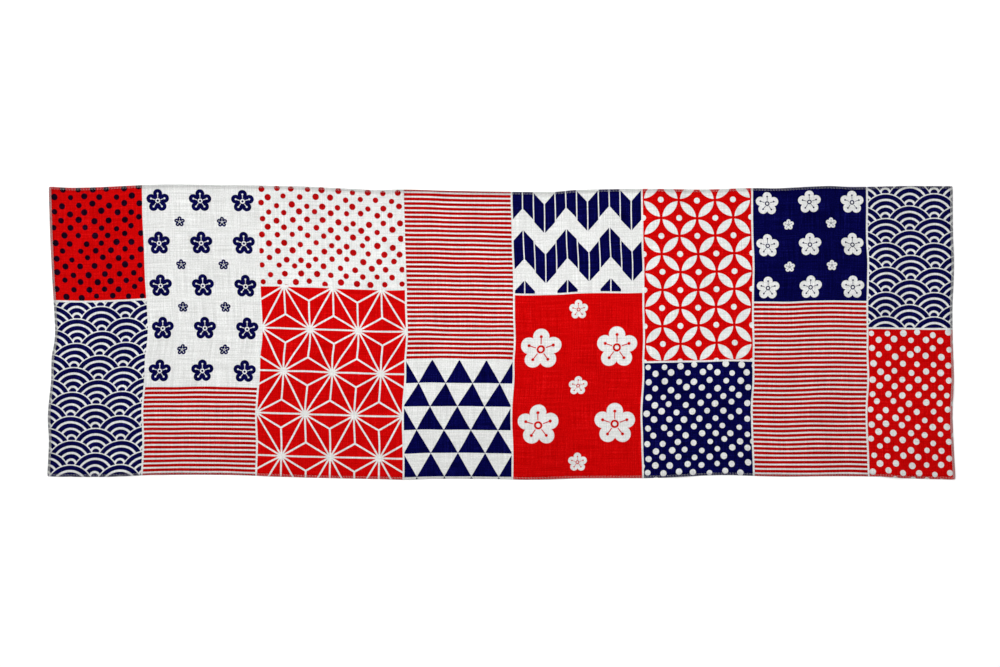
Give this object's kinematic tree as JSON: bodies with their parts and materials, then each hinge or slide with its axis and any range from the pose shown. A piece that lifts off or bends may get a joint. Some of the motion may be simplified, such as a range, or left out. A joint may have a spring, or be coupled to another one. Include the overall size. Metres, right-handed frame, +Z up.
{
  "type": "tenugui towel",
  "caption": "Long, thin cotton hand towel with a fine rolled hem on every side, spread flat, printed all over in red, navy and white traditional patterns.",
  "frame": {"origin": "On the surface the towel lies on, under the middle of its outline", "axes": "+X along the towel's length, +Y across it, +Z up from the surface through the cloth"},
  "size_m": [1.004, 0.3262, 0.0035],
  "materials": {
    "printed_cotton": "plain-weave cotton, dye-printed in red and navy on off-white, matt"
  },
  "bodies": {
    "root": {"towel_cloth": "printed_cotton"}
  },
  "joints": []
}
